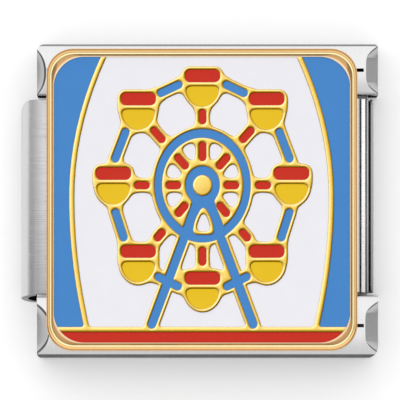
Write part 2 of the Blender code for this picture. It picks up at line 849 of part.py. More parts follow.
def make_inlays(parts, pockets, frame, brace, disc):
    """Enamel in every pocket of the wheel, lower than the gold lines."""
    low = BODY_TOP + TRAY_THICK + ENAMEL_THICK + 3 * SEAT_GAP
    high = low + INLAY_HEIGHT
    for name, field, finish_name in pockets:
        finish(prism(name, loops_of(field + INLAY_GAP), low, high, parts), finish_name)
    ring = np.maximum(np.maximum(frame, -disc), -brace) + INLAY_GAP
    finish(prism("a_frame", bodies_of(ring)[0], low, high, parts), "blue_enamel")


def main():
    clear_scene()
    parts = new_collection("charm_link")
    cutters = new_collection("cutters", hidden=True)
    make_link_body(parts, cutters)
    make_sliding_hook(parts, cutters)
    make_back_plate(parts, cutters)
    make_notch_strips(parts)
    make_plaque_tray(parts, cutters)
    pockets = pocket_fields()
    frame = a_frame_field()
    brace = brace_field()
    make_enamel_fields(parts)
    disc = make_gold_lines(parts, pockets, frame, brace)
    make_inlays(parts, pockets, frame, brace, disc)
    for cutter in cutters.objects:
        cutter.data.transform(Matrix.Scale(MM, 4))
        cutter.hide_render = True
        cutter.display_type = "WIRE"


main()
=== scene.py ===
"""Looks of a charm bracelet link: folded stainless case, sprung hook and an enamelled plaque."""
import math

import bmesh
import bpy
from mathutils import Matrix, Vector
from mathutils.geometry import delaunay_2d_cdt
from mathutils.kdtree import KDTree


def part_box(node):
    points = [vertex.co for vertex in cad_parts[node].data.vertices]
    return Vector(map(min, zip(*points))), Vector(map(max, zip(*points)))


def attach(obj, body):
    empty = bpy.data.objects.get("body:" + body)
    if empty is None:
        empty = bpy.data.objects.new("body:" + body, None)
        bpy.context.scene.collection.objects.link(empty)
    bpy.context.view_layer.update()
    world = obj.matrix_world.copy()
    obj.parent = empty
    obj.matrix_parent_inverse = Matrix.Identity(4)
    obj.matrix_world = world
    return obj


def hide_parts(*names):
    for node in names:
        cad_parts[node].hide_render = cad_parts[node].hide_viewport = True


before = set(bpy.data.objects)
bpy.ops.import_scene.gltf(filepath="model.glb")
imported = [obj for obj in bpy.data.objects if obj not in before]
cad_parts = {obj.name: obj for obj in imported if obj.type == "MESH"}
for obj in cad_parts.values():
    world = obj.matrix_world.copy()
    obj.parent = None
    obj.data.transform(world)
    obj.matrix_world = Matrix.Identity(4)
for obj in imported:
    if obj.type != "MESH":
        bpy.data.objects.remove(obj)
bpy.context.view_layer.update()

# Shapes are drawn in millimetres and turned to metres when a piece is finished
MM = 0.001

# Points of a CAD node nearer than this are one, and points this near a level are on it
WELD = 0.0004
LEVEL = 0.001

# Case: sheets, rails, corner folds and notches, as in the part
FACE_SHEET = 0.30
SIDE_SHEET = 0.26
RAIL_THICK = 0.25
RAIL_IN = 1.21
FOLD_STEPS = 8
CORNER_FOLDS = ((-1, 1, 0.22), (1, 1, 0.12), (-1, -1, 0.15), (1, -1, 0.34))
LEFT_NOTCH = (-2.735, 3.029)
LEFT_NOTCH_TO = -4.30
RIGHT_NOTCH = (-2.708, 3.037)
RIGHT_NOTCH_TO = 4.602
# The long sides' painted shade, a darker tone, begins and is full at these distances from the
# middle
SIDE_SHADE_FROM = (4.445, 4.455)
# Ground facets: centre, half chord, then depth and squareness of the slope and of its step,
# and the step's height
LEFT_FACETS = (
    (3.69, 0.69, 0.265, 2.4, 0.265, 2.4, 0.038),
    (-3.67, 0.74, 0.310, 4.0, 0.360, 3.0, 0.060),
)
RIGHT_FACETS = (
    (3.765, 0.705, 0.300, 4.6, 0.372, 3.2, 0.042),
    (-3.62, 0.75, 0.325, 4.6, 0.410, 3.2, 0.042),
)
FACET_STEP_SLOPE = math.radians(57)
FACET_SLOPE = math.radians(42)
# A facet's curve has this many steps to a half chord, and this many more past the chord's end.
# The block that cuts it has this half size.
FACET_STEPS = 48
FACET_PAST = 12
FACET_BLOCK = 3.0
# Fold of the ears' edges beside the notches: radius and steps
EDGE_FOLD = 0.06
EDGE_STEPS = 6
# Every profile starts this far outside its edge
LEAD = 0.05
# Folds of the front and back long edges and of the right notch's long side: distance in and how
# far the face has fallen
FRONT_FOLD = ((-LEAD, 0.20), (0.0, 0.105), (0.006, 0.088), (0.020, 0.072), (0.112, 0.0))
BACK_FOLD = (
    (-LEAD, 0.30),
    (0.0, 0.066),
    (0.003, 0.048),
    (0.012, 0.032),
    (0.026, 0.017),
    (0.044, 0.005),
    (0.062, 0.0),
)
NOTCH_FOLD = ((-LEAD, 0.13), (0.0, 0.048), (0.012, 0.027), (0.028, 0.011), (0.056, 0.0))
# Relief slits: where each starts and ends, and its middle. They are cut past the sheet.
SLITS = (
    (4.40, 4.723, 3.759),
    (4.40, 4.723, -3.575),
    (-4.385, -4.29, 3.764),
    (4.50, 4.65, RIGHT_NOTCH[1] - 0.05),
    (4.50, 4.65, RIGHT_NOTCH[0] + 0.05),
)
SLIT_WIDTH = 0.10
SLIT_PAST = 0.06
# The hook's roll: its axis, and a reach between the sheet's inside and outside. A face whose
# normal points this much along the axis is a sheared end.
HOOK_AXIS = Vector((-4.384, 0.0, 1.15))
HOOK_INSIDE = 0.65
HOOK_END = 0.7
# Eased edges of the hook, plate and strips: flats are joined up to the first angle, and edges
# sharper than the second are eased in this many steps
FLAT_ANGLE = math.radians(1)
EASED_ANGLE = math.radians(40)
EASED_STEPS = 3
# The press leaves the face falling off towards its long edges and towards the notches: where
# that starts, where it becomes an even slope, and the slope. It is drawn at the first distances,
# and past the folded edges beside the notches at the second.
ROLL_OFF = (0.70, 0.20, 0.08)
ROLL_STEPS = (0.0, 0.1, 0.2, 0.28, 0.36, 0.44, 0.52, 0.60, ROLL_OFF[0])
NOTCH_STEPS = (2.5 * EDGE_FOLD, *ROLL_STEPS[2:-1])
# The roll beside the right notch starts here, under the plaque
ROLL_FROM = 4.52
# Cutters reach this far past the sheet. Where two faces would lie in one plane, they keep this
# little apart in height, or sideways.
PAST = 1.0
APART = 0.0002
ASIDE = 0.002

# Plaque: the tray's sheet, the steps of a rounded corner, its radius outside and inside the rim,
# and the rim's width at the sides. At the top and bottom it is the last number times as wide.
TRAY_THICK = 0.195
CORNER_STEPS = 14
PLAQUE_CORNER = 0.76
FIELD_CORNER = 0.87
RIM_WIDTH = 0.210
RIM_TALL = 1.12
# Rim section: distance in from the outside, height under the crest, corner radius
RIM_SECTION = (
    (0.000, 0.130, 0.760),
    (0.003, 0.085, 0.758),
    (0.010, 0.058, 0.752),
    (0.022, 0.040, 0.743),
    (0.038, 0.029, 0.730),
    (0.060, 0.022, 0.712),
    (0.085, 0.015, 0.692),
    (0.098, 0.010, 0.680),
    (0.105, 0.003, 0.674),
    (0.112, 0.001, 0.668),
    (0.128, 0.000, 0.656),
    (0.142, 0.001, 0.647),
    (0.147, 0.006, 0.645),
    (0.156, 0.018, 0.655),
    (0.182, 0.052, 0.810),
    (0.188, 0.058, 0.825),
    (0.210, 0.064, 0.862),
)
# Crown of the gold lines and skin of the enamel: distance in from the outline and height
LINE_CROWN = (
    (0.000, -0.030),
    (0.004, -0.0205),
    (0.014, -0.0135),
    (0.026, -0.0080),
    (0.038, -0.0040),
    (0.050, -0.0014),
    (0.064, 0.0),
)
ENAMEL_SKIN = ((0.0, 0.0), (0.010, -0.0018), (0.020, -0.0030), (0.032, -0.0035))
# Outlines are cut into steps of this length before a crown is drawn on them. Distances are
# measured to marks this far apart, points of a ring keep this far apart and this share of the
# ring's distance, and the triangles are found to this tolerance.
OUTLINE_STEP = 0.03
MARK_STEP = 0.004
POINT_GAP = 0.008
RING_SHARE = 0.85
TRIANGLE_TOLERANCE = 1e-5
# The enamel fills the cells nearly to the shoulders of the lines: how much higher than the
# part's flat sheets the fields and the inlays stand, and how much farther each reaches sideways
FIELD_RISE = 0.046
FIELD_REACH = 0.012
INLAY_RISE = 0.012
INLAY_REACH = 0.018
FIELDS = ("white_field", "blue_panel_left", "blue_panel_right", "red_ground")
# Enamel colour by how a node's name starts
COLOURS = {
    "white_field": "white",
    "blue_panel": "blue",
    "red_ground": "red",
    "a_frame": "blue",
    "rim_stroke": "blue",
    "roof": "red",
    "outer_spoke": "red",
    "inner_spoke": "red",
    "tub": "yellow",
}
# Edges shorter than this are joined before a top is drawn anew
SHORT_EDGE = 0.006

# Steel's grain: its size along each axis and its depth. Rolling marks run up the picture, a few
# hundredths wide. Forming marks run across it, where strip was drawn round a former. They are
# too fine to show, and spread what the strip mirrors up and down.
ROLLING_MARKS = (0.035, 1.8, 0.035, 0.0003)
FORMING_MARKS = (1.8, 0.014, 1.8, 0.0055)
# Most of a noise pattern lies between these values
NOISE_RANGE = {"From Min": 0.3, "From Max": 0.7}


def mm_box(node):
    """A node's lowest and highest corners in millimetres."""
    low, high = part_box(node)
    return low / MM, high / MM


# Mesh helpers


def bmesh_of(mesh):
    bm = bmesh.new()
    bm.from_mesh(mesh)
    return bm


def object_of(bm, name):
    """A new object from a bmesh, which is then freed."""
    mesh = bpy.data.meshes.new(name)
    bm.to_mesh(mesh)
    bm.free()
    obj = bpy.data.objects.new(name, mesh)
    bpy.context.scene.collection.objects.link(obj)
    return obj


def cad_copy(node):
    """A bmesh of a CAD node in millimetres, with its loose triangles joined."""
    bm = bmesh_of(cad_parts[node].data)
    bmesh.ops.scale(bm, vec=(1 / MM,) * 3, verts=bm.verts)
    bmesh.ops.remove_doubles(bm, verts=bm.verts, dist=WELD)
    return bm


def block(low, high):
    """A bmesh box between two corners."""
    bm = bmesh.new()
    bmesh.ops.create_cube(bm, size=1.0)
    bmesh.ops.scale(bm, vec=Vector(high) - Vector(low), verts=bm.verts)
    bmesh.ops.translate(bm, vec=(Vector(high) + Vector(low)) / 2, verts=bm.verts)
    return bm


def round_corners(bm, corner, radius):
    """Rounds the upright edges of a bmesh box over a corner."""
    edges = [e for e in bm.edges if all((v.co.xy - corner).length < LEVEL for v in e.verts)]
    bmesh.ops.bevel(
        bm,
        geom=edges,
        offset=radius,
        segments=FOLD_STEPS,
        profile=0.5,
        affect="EDGES",
        material=-1,
    )


def combine(obj, other_bm, operation, *materials):
    """Cuts or joins a bmesh to an object with a Boolean, and applies it. The faces that the
    other mesh leaves have its materials."""
    other = object_of(other_bm, "tool")
    for material in materials:
        other.data.materials.append(material)
    modifier = obj.modifiers.new("combine", "BOOLEAN")
    modifier.operation = operation
    modifier.object = other
    modifier.solver = "EXACT"
    modifier.material_mode = "TRANSFER"
    bpy.context.view_layer.update()
    graph = bpy.context.evaluated_depsgraph_get()
    mesh = bpy.data.meshes.new_from_object(obj.evaluated_get(graph))
    obj.modifiers.clear()
    obj.data = mesh
    bpy.data.objects.remove(other, do_unlink=True)


def finish_piece(obj, body, node, material=None, sharp=30, weighted=True):
    """Millimetres to metres, shading, material, and the CAD node that it stands for."""
    bm = bmesh_of(obj.data)
    bmesh.ops.scale(bm, vec=(MM,) * 3, verts=bm.verts)
    for face in bm.faces:
        face.smooth = True
    for edge in bm.edges:
        if edge.calc_face_angle(0.0) > math.radians(sharp):
            edge.smooth = False
    bm.to_mesh(obj.data)
    bm.free()
    if material:
        obj.data.materials.clear()
        obj.data.materials.append(material)
    if weighted:
        modifier = obj.modifiers.new("weighted_normals", "WEIGHTED_NORMAL")
        modifier.keep_sharp = True
    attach(obj, body)
    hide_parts(node)
    return obj


# Material helpers


def linear(code):
    """An sRGB hex colour as linear red, green, blue and alpha."""
    channels = [int(code[i : i + 2], 16) / 255 for i in (1, 3, 5)]
    return (
        *(c / 12.92 if c <= 0.04045 else ((c + 0.055) / 1.055) ** 2.4 for c in channels),
        1.0,
    )


def add(tree, kind, inputs=None, **settings):
    """Adds a node with its settings and its inputs, each a value or another node's output."""
    node = tree.nodes.new(kind)
    for name, value in settings.items():
        setattr(node, name, value)
    for name, value in (inputs or {}).items():
        if isinstance(value, bpy.types.NodeSocket):
            tree.links.new(value, node.inputs[name])
        else:
            node.inputs[name].default_value = value
    return node


def new_material(name):
    """A new material, its node tree, its shader and the place in the piece that it reads."""
    material = bpy.data.materials.new(name)
    material.use_nodes = True
    tree = material.node_tree
    shader = tree.nodes["Principled BSDF"]
    place = add(tree, "ShaderNodeTexCoord").outputs["Object"]
    return material, tree, shader, place


def per_mm(size):
    """The texture scale for a pattern of this size in millimetres."""
    return 1 / (size * MM)


def sheet_steel(name, tones, roughness, side_shade_tone=None, marks=ROLLING_MARKS):
    """Cold rolled stainless sheet, pressed and tumbled: soft reflections with a faint grain
    along the rolling direction. A side tone, where given, is painted shade on the long sides,
    darker than the face. Marks are the grain's size along each axis and its depth."""
    material, tree, shader, place = new_material(name)
    turned = {"Vector": place, "Scale": [per_mm(size) for size in marks[:3]]}
    along = add(tree, "ShaderNodeMapping", turned).outputs["Vector"]
    grain = add(tree, "ShaderNodeTexNoise", {"Vector": along, "Scale": 1.0, "Detail": 3.0})
    cloud = add(tree, "ShaderNodeTexNoise", {"Vector": place, "Scale": per_mm(0.9)})
    mix = add(tree, "ShaderNodeMix", {"Factor": grain.outputs["Fac"]}, data_type="RGBA")
    for socket, tone in zip(mix.inputs[6:8], tones):
        socket.default_value = linear(tone)
    colour = mix.outputs[2]
    if side_shade_tone:
        # Painted shade: the long sides, far from the middle, turn to a darker tone
        parts = add(tree, "ShaderNodeSeparateXYZ", {"Vector": place})
        across = add(tree, "ShaderNodeMath", {0: parts.outputs["Y"]}, operation="ABSOLUTE")
        limits = {"From Min": SIDE_SHADE_FROM[0] * MM, "From Max": SIDE_SHADE_FROM[1] * MM}
        side = add(tree, "ShaderNodeMapRange", {"Value": across.outputs[0], **limits})
        both = {"Factor": side.outputs["Result"], 6: colour, 7: linear(side_shade_tone)}
        colour = add(tree, "ShaderNodeMix", both, data_type="RGBA").outputs[2]
    limits = {**NOISE_RANGE, "To Min": roughness[0], "To Max": roughness[1]}
    gloss = add(tree, "ShaderNodeMapRange", {"Value": cloud.outputs["Fac"], **limits})
    relief = {"Height": grain.outputs["Fac"], "Distance": marks[3] * MM}
    shader.inputs["Metallic"].default_value = 1.0
    tree.links.new(colour, shader.inputs["Base Color"])
    tree.links.new(gloss.outputs["Result"], shader.inputs["Roughness"])
    tree.links.new(add(tree, "ShaderNodeBump", relief).outputs[0], shader.inputs["Normal"])
    return material


def set_stops(ramp, stops, low, high):
    """Gives a colour ramp node its stops, each a value between low and high and a colour."""
    elements = ramp.color_ramp.elements
    elements.remove(elements[1])
    for index, (value, colour) in enumerate(stops):
        place = (value - low) / (high - low)
        stop = elements.new(place) if index else elements[0]
        stop.position = place
        stop.color = colour


def gold_with_painted_light(name, tones, roughness, across):
    """Gold plate on a cast piece, buffed by hand, with painted light: a ramp of tones, pale for
    painted highlight and deeper gold for painted shade. across is the attribute that tells
    where, or the way that the paler sides look."""
    material, tree, shader, place = new_material(name)
    if isinstance(across, str):
        value = add(tree, "ShaderNodeAttribute", attribute_name=across).outputs["Fac"]
    else:
        sides = {0: add(tree, "ShaderNodeTexCoord").outputs["Normal"], 1: across}
        value = add(tree, "ShaderNodeVectorMath", sides, operation="DOT_PRODUCT")
        value = value.outputs["Value"]
    # The ramp paints light: its pale tones are painted highlight, its deep tones painted shade
    lowest, highest = tones[0][0], tones[-1][0]
    limits = {"From Min": lowest, "From Max": highest}
    part = add(tree, "ShaderNodeMapRange", {"Value": value, **limits}).outputs["Result"]
    ramp = add(tree, "ShaderNodeValToRGB", {"Fac": part})
    set_stops(ramp, [(stop, linear(tone)) for stop, tone in tones], lowest, highest)
    wave = add(tree, "ShaderNodeTexNoise", {"Vector": place, "Scale": per_mm(0.16)})
    grit = add(tree, "ShaderNodeTexNoise", {"Vector": place, "Scale": per_mm(0.03)})
    both = {"Factor": wave.outputs["Fac"], 6: ramp.outputs["Color"], 7: linear("#F7F4EE")}
    uneven = add(tree, "ShaderNodeMix", both, data_type="RGBA", blend_type="MULTIPLY")
    limits = {**NOISE_RANGE, "To Min": roughness[0], "To Max": roughness[1]}
    gloss = add(tree, "ShaderNodeMapRange", {"Value": grit.outputs["Fac"], **limits})
    soft = {"Height": wave.outputs["Fac"], "Distance": 0.0004 * MM}
    waved = add(tree, "ShaderNodeBump", soft).outputs["Normal"]
    fine = {"Height": grit.outputs["Fac"], "Distance": 0.0003 * MM, "Normal": waved}
    shader.inputs["Metallic"].default_value = 1.0
    tree.links.new(uneven.outputs[2], shader.inputs["Base Color"])
    tree.links.new(gloss.outputs["Result"], shader.inputs["Roughness"])
    tree.links.new(add(tree, "ShaderNodeBump", fine).outputs[0], shader.inputs["Normal"])
    return material


def fired_enamel(name, light, deep):
    """Fired enamel, ground flat and polished: dense even colour with a faint cloud in it,
    under a glassy skin that undulates slightly."""
    material, tree, shader, place = new_material(name)
    cloud = {"Vector": place, "Scale": per_mm(0.5), "Detail": 4.0}
    cloud = add(tree, "ShaderNodeTexNoise", cloud).outputs["Fac"]
    both = {"Factor": cloud, 6: linear(light), 7: linear(deep)}
    colour = add(tree, "ShaderNodeMix", both, data_type="RGBA").outputs[2]
    skin = {"Vector": place, "Scale": per_mm(0.25), "Detail": 1.0}
    skin = add(tree, "ShaderNodeTexNoise", skin).outputs["Fac"]
    wavy = add(tree, "ShaderNodeBump", {"Height": skin, "Distance": 0.0006 * MM})
    shader.inputs["Roughness"].default_value = 0.14
    shader.inputs["IOR"].default_value = 1.5
    shader.inputs["Specular IOR Level"].default_value = 0.2
    tree.links.new(colour, shader.inputs["Base Color"])
    tree.links.new(wavy.outputs["Normal"], shader.inputs["Normal"])
    return material


def black_shade_skin(name, tones):
    """A matt skin, almost black, that paints shade where it is put."""
    material, tree, shader, place = new_material(name)
    soot = add(tree, "ShaderNodeTexNoise", {"Vector": place, "Scale": per_mm(0.02)})
    both = {"Factor": soot.outputs["Fac"], 6: linear(tones[0]), 7: linear(tones[1])}
    colour = add(tree, "ShaderNodeMix", both, data_type="RGBA").outputs[2]
    tree.links.new(colour, shader.inputs["Base Color"])
    shader.inputs["Roughness"].default_value = 0.8
    shader.inputs["Specular IOR Level"].default_value = 0.1
    return material


# Finishes

# Tumbled face sheet: bright, with a faint grain, and painted shade, a darker tone, on the long
# sides
polished = sheet_steel("polished_stainless", ("#D7D7D7", "#E1E1E1"), (0.10, 0.20), "#A2A2A2")
# Facets off the grinder: greyer and softer than the face
ground = sheet_steel("ground_stainless", ("#B6B6B6", "#C0C0C0"), (0.22, 0.30))
# Their steep inner steps: painted shade, thin dark lines
step_painted_shade = sheet_steel("facet_step_painted_shade", ("#4C4C4C", "#565656"), (0.25, 0.33))
# Ends of the hook's strip, torn by the shear: dull grey
sheared = sheet_steel("sheared_edge_stainless", ("#6C6C6C", "#767676"), (0.30, 0.40))
# Strip drawn round a former: a soft grey, nearly even from end to end
pressed = sheet_steel(
    "pressed_strip_stainless", ("#CCCCCC", "#D6D6D6"), (0.12, 0.20), marks=FORMING_MARKS
)
# Folds of the long edges: painted shade, a little darker than the face
folded = sheet_steel("fold_painted_shade_stainless", ("#A4A4A4", "#AEAEAE"), (0.16, 0.24))
# Bright drawn strip: nearly white under the soft light
bright = sheet_steel(
    "bright_strip_stainless", ("#F4F4F4", "#FAFAFA"), (0.10, 0.16), marks=FORMING_MARKS
)
# Plate tumbled before it goes in: satin grey
satin = sheet_steel("satin_plate_stainless", ("#B4B4B4", "#C0C0C0"), (0.25, 0.35))
# Tempered spring strip: a flat mid grey
spring = sheet_steel("spring_stainless", ("#AAAAAA", "#B4B4B4"), (0.16, 0.28))
# Inside the case and the hook's roll: painted shade, matt and nearly black
painted_shade_inside = black_shade_skin("inside_painted_shade", ("#141312", "#211F1D"))
# Slits and the notches' walls: painted shade, black lines and walls
painted_shade_cuts = black_shade_skin("cut_walls_painted_shade", ("#040404", "#0C0B0A"))
# Buffed rose gold plate with painted light: bands from orange to cream by the distance in from
# the rim's outside, painted highlights on the outer slope, the crest and the inner ledge, and
# painted shade in the groove
rose_gold_painted_bands = gold_with_painted_light(
    "rose_gold_plate",
    (
        (0.000, "#DDAA72"),
        (0.045, "#E0AC66"),
        (0.066, "#FFD699"),
        (0.092, "#F2C488"),
        (0.108, "#F4E2AC"),
        (0.122, "#FBEFB8"),
        (0.140, "#FBEFB8"),
        (0.148, "#CFAC78"),
        (0.180, "#E0AC70"),
        (0.190, "#EFD4B0"),
        (0.210, "#EFD4B0"),
    ),
    (0.10, 0.18),
    "inset",
)
# Buffed yellow gold plate with painted light: a pale painted highlight where a crown looks to the
# upper left, and a deep painted shade where it looks away
yellow_gold_painted_sides = gold_with_painted_light(
    "yellow_gold_plate",
    (
        (-0.60, "#7E6004"),
        (-0.42, "#A07C08"),
        (-0.24, "#D9AB1C"),
        (-0.08, "#EAC04C"),
        (0.00, "#F0D070"),
        (0.10, "#ECCC78"),
        (0.22, "#EED48E"),
        (0.42, "#E8D6A6"),
    ),
    (0.22, 0.32),
    (-math.sqrt(0.5), math.sqrt(0.5), 0.0),
)
# Fired enamel, ground flat: flat colour with a soft gloss
enamel = {
    "white": fired_enamel("white_enamel", "#F2F1F7", "#EDECF2"),
    "blue": fired_enamel("blue_enamel", "#4489CE", "#4084CA"),
    "red": fired_enamel("red_enamel", "#CE280E", "#C82209"),
    "yellow": fired_enamel("yellow_enamel", "#EFC60F", "#E9BE0B"),
}

# Steel pieces


def tilted_cutter(side, outer, place, shape, slope, level):
    """A block that cuts an ear down to a slope, and meets the plane at a level in a curve."""
    centre, half_chord = place
    depth, squareness = shape
    sink = depth * math.sin(slope)
    ends = FACET_STEPS + FACET_PAST
    steps = [i / FACET_STEPS for i in range(-ends, ends + 1)]
    stations = [(t * half_chord, sink * (abs(t) ** squareness - 1)) for t in steps]
    bm = profile_block(-FACET_BLOCK, FACET_BLOCK, stations, FACET_BLOCK)
    turn = Matrix.Rotation(side * slope, 4, "Y")
    move = Matrix.Translation((outer, centre, level))
    bmesh.ops.transform(bm, matrix=move @ turn, verts=bm.verts)
    return bm


def facet_cutter(side, outer, facet, top):
    """Grinds one curved facet, with a steep step along its inner edge, into an ear."""
    place, slope_shape, step_shape = facet[:2], facet[2:4], facet[4:6]
    slope = tilted_cutter(side, outer, place, slope_shape, FACET_SLOPE, top - facet[6])
    cutter = object_of(slope, "facet_cutter")
    cutter.data.materials.append(ground)
    step = tilted_cutter(side, outer, place, step_shape, FACET_STEP_SLOPE, top)
    # The step's faces take a dark tone: painted shade along the facet's inner edge
    combine(cutter, step, "INTERSECT", step_painted_shade)
    bm = bmesh_of(cutter.data)
    bpy.data.objects.remove(cutter, do_unlink=True)
    return bm


def roll_off(distance):
    """How far the face has fallen at this distance from an edge."""
    start, even, slope = ROLL_OFF
    curved = max(start - max(distance, even), 0.0) ** 2 / (2 * (start - even))
    return slope * (curved + max(even - distance, 0.0))


def fold(distance):
    """How far a folded edge falls at this distance from the wall."""
    short = EDGE_FOLD - min(max(distance, 0.0), EDGE_FOLD)
    return EDGE_FOLD - math.sqrt(EDGE_FOLD**2 - short**2)


def profile_block(start, end, stations, up_to):
    """A solid between two x values, from a line of y and z stations up or down to a level."""
    bm = bmesh.new()
    count = len(stations) - 1
    made = bmesh.ops.create_grid(bm, x_segments=1, y_segments=count, size=1.0)["verts"]
    for vert in made:
        y, z = stations[round((vert.co.y + 1) / 2 * count)]
        vert.co = (start if vert.co.x < 0 else end, y, z)
    walls = bmesh.ops.extrude_face_region(bm, geom=bm.faces[:])["geom"]
    for vert in (item for item in walls if isinstance(item, bmesh.types.BMVert)):
        vert.co.z = up_to
    bmesh.ops.recalc_face_normals(bm, faces=bm.faces)
    return bm


def fallen(edge, inward, top, profile):
    """Stations in from an edge: the face's fall and the profile's, under the top."""
    return [(edge + inward * d, top - roll_off(d) - fall) for d, fall in profile]


def notch_edge_cutter(start, end, edge, inward, top):
    """Rolls and folds the ear's edge beside a notch: inward is the ear's side."""
    turns = [math.pi / 2 * i / EDGE_STEPS for i in range(EDGE_STEPS, -1, -1)]
    steps = [EDGE_FOLD * (1 - math.sin(turn)) for turn in turns]
    steps += NOTCH_STEPS
    stations = [(edge - inward * LEAD, top - roll_off(0) - EDGE_FOLD)]
    stations += fallen(edge, inward, top, [(d, fold(d)) for d in steps])
    stations += [(edge + inward * ROLL_OFF[0], top + APART)]
    return profile_block(start, end, stations, top + PAST)


def case_blank(low, high):
    """The case before its cuts: a block with a rolled top and rounded corners."""
    level = [(d, 0.0) for d in ROLL_STEPS]
    stations = fallen(low.y, 1, high.z, level) + fallen(high.y, -1, high.z, level[::-1])
    case = object_of(profile_block(low.x, high.x, stations, low.z), "folded_case")
    case.data.materials.append(polished)
    column = block((low.x, low.y, low.z - PAST), (high.x, high.y, high.z + PAST))
    for side_x, side_y, radius in CORNER_FOLDS:
        corner = Vector((high.x if side_x > 0 else low.x, high.y if side_y > 0 else low.y))
        round_corners(column, corner, radius)
    combine(case, column, "INTERSECT", polished)
    return case


def inside_cutters(low, high):
    """The hollow under the face sheet, and the opening between the rails, which reaches up into
    it."""
    left, right = low.x + SIDE_SHEET, high.x - SIDE_SHEET
    side, rail = high.y - SIDE_SHEET, high.y - RAIL_IN
    return [
        block((left, -side, RAIL_THICK), (right, side, high.z - FACE_SHEET)),
        block((left, -rail, -PAST), (right, rail, 1.5 * RAIL_THICK)),
    ]


def notch_cutters(low, high):
    """The gaps between the ears."""
    above = high.z + PAST
    return [
        block((low.x - PAST, LEFT_NOTCH[0], -PAST), (LEFT_NOTCH_TO, LEFT_NOTCH[1], above)),
        block((RIGHT_NOTCH_TO, RIGHT_NOTCH[0], -PAST), (high.x + PAST, RIGHT_NOTCH[1], above)),
    ]


def fold_cutters(low, high):
    """Folds of the front and back long edges."""
    front = fallen(low.y, 1, high.z, FRONT_FOLD)
    back = fallen(high.y, -1, high.z, BACK_FOLD)
    ends = low.x - PAST, high.x + PAST
    return [profile_block(*ends, stations, high.z + PAST) for stations in (front, back)]


def facet_cutters(low, high):
    """The ground facets on the four ears."""
    return [
        facet_cutter(side, outer, facet, high.z)
        for side, outer, group in ((-1, low.x, LEFT_FACETS), (1, high.x, RIGHT_FACETS))
        for facet in group
    ]


def roll_cutters(low, high):
    """Rolls and folds around the notches."""
    cutters = []
    for inward, left, right in zip((-1, 1), LEFT_NOTCH, RIGHT_NOTCH):
        cutters.append(notch_edge_cutter(low.x - PAST, LEFT_NOTCH_TO, left, inward, high.z))
        cutters.append(notch_edge_cutter(ROLL_FROM, high.x + PAST, right, inward, high.z))
    near, far = RIGHT_NOTCH[0] + ASIDE, RIGHT_NOTCH[1] - ASIDE
    stations = [(d - RIGHT_NOTCH_TO, high.z - fall) for d, fall in NOTCH_FOLD]
    long_side = profile_block(near, far, stations, high.z + PAST)
    turn = Matrix.Rotation(math.pi / 2, 4, "Z")
    bmesh.ops.transform(long_side, matrix=turn, verts=long_side.verts)
    return [*cutters, long_side]


def slit_cutters(_, high):
    """The relief slits at the folds' ends."""
    bottom, above = high.z - FACE_SHEET - SLIT_PAST, high.z + PAST
    half = SLIT_WIDTH / 2
    return [
        block((start, middle - half, bottom), (end, middle + half, above))
        for start, end, middle in SLITS
    ]


def make_case():
    """The folded case: face, four sides, rails turned in, four ears with facets and slits."""
    low, high = mm_box("link_body")
    case = case_blank(low, high)
    # The inside, notch walls, folds, facet steps and slits take darker tones: painted shade
    for cutters, *finishes in (
        (inside_cutters, painted_shade_inside),
        (notch_cutters, painted_shade_cuts),
        (fold_cutters, folded),
        (facet_cutters, ground, step_painted_shade),
        (roll_cutters, polished),
        (slit_cutters, painted_shade_cuts),
    ):
        for cutter in cutters(low, high):
            combine(case, cutter, "DIFFERENCE", *finishes)
    return finish_piece(case, "link", "link_body")


def finish_of_hook(face):
    """Which of the hook's materials a face has: sheared end, inside of the roll, which takes
    painted shade, or neither.
    """
    if abs(face.normal.y) > HOOK_END:
        return 1
    inward = HOOK_AXIS - face.calc_center_median()
    inward.y = 0.0
    return 2 if inward.length < HOOK_INSIDE and inward.dot(face.normal) > 0 else 0


def make_from_cad(name, node, body, materials, bevel, finish_of=None):
    """A CAD node's own shape with its sharp edges eased."""
    bm = cad_copy(node)
    bmesh.ops.dissolve_limit(bm, angle_limit=FLAT_ANGLE, verts=bm.verts, edges=bm.edges)
    bm.normal_update()
    for face in bm.faces:
        face.material_index = finish_of(face) if finish_of else 0
    obj = object_of(bm, name)
    for material in materials:
        obj.data.materials.append(material)
    # The edges are eased in metres, and the piece goes back to millimetres afterwards
    obj.data.transform(Matrix.Scale(MM, 4))
    ease = obj.modifiers.new("eased_edges", "BEVEL")
    ease.width = bevel * MM
    ease.segments = EASED_STEPS
    ease.limit_method = "ANGLE"
    ease.angle_limit = EASED_ANGLE
    bpy.context.view_layer.update()
    graph = bpy.context.evaluated_depsgraph_get()
    mesh = bpy.data.meshes.new_from_object(obj.evaluated_get(graph))
    obj.modifiers.clear()
    obj.data = mesh
    obj.data.transform(Matrix.Scale(1 / MM, 4))
    return finish_piece(obj, body, node, weighted=not finish_of)


# Plaque


def plaque_ring(bm, inset, corner, height):
    """Draws a rounded rectangle of edges, inset from the plaque's outside."""
    low, high = mm_box("plaque_tray")
    centre = (low + high) / 2
    half = (high - low) / 2
    made = bmesh.ops.create_grid(bm, x_segments=1, y_segments=1, size=1.0)["verts"]
    bmesh.ops.scale(bm, vec=(half.x - inset, half.y - inset * RIM_TALL, 1.0), verts=made)
    bmesh.ops.translate(bm, vec=(centre.x, centre.y, height), verts=made)
    bmesh.ops.bevel(
        bm,
        geom=made,
        offset=corner,
        segments=CORNER_STEPS,
        profile=0.5,
        affect="VERTICES",
        material=-1,
    )


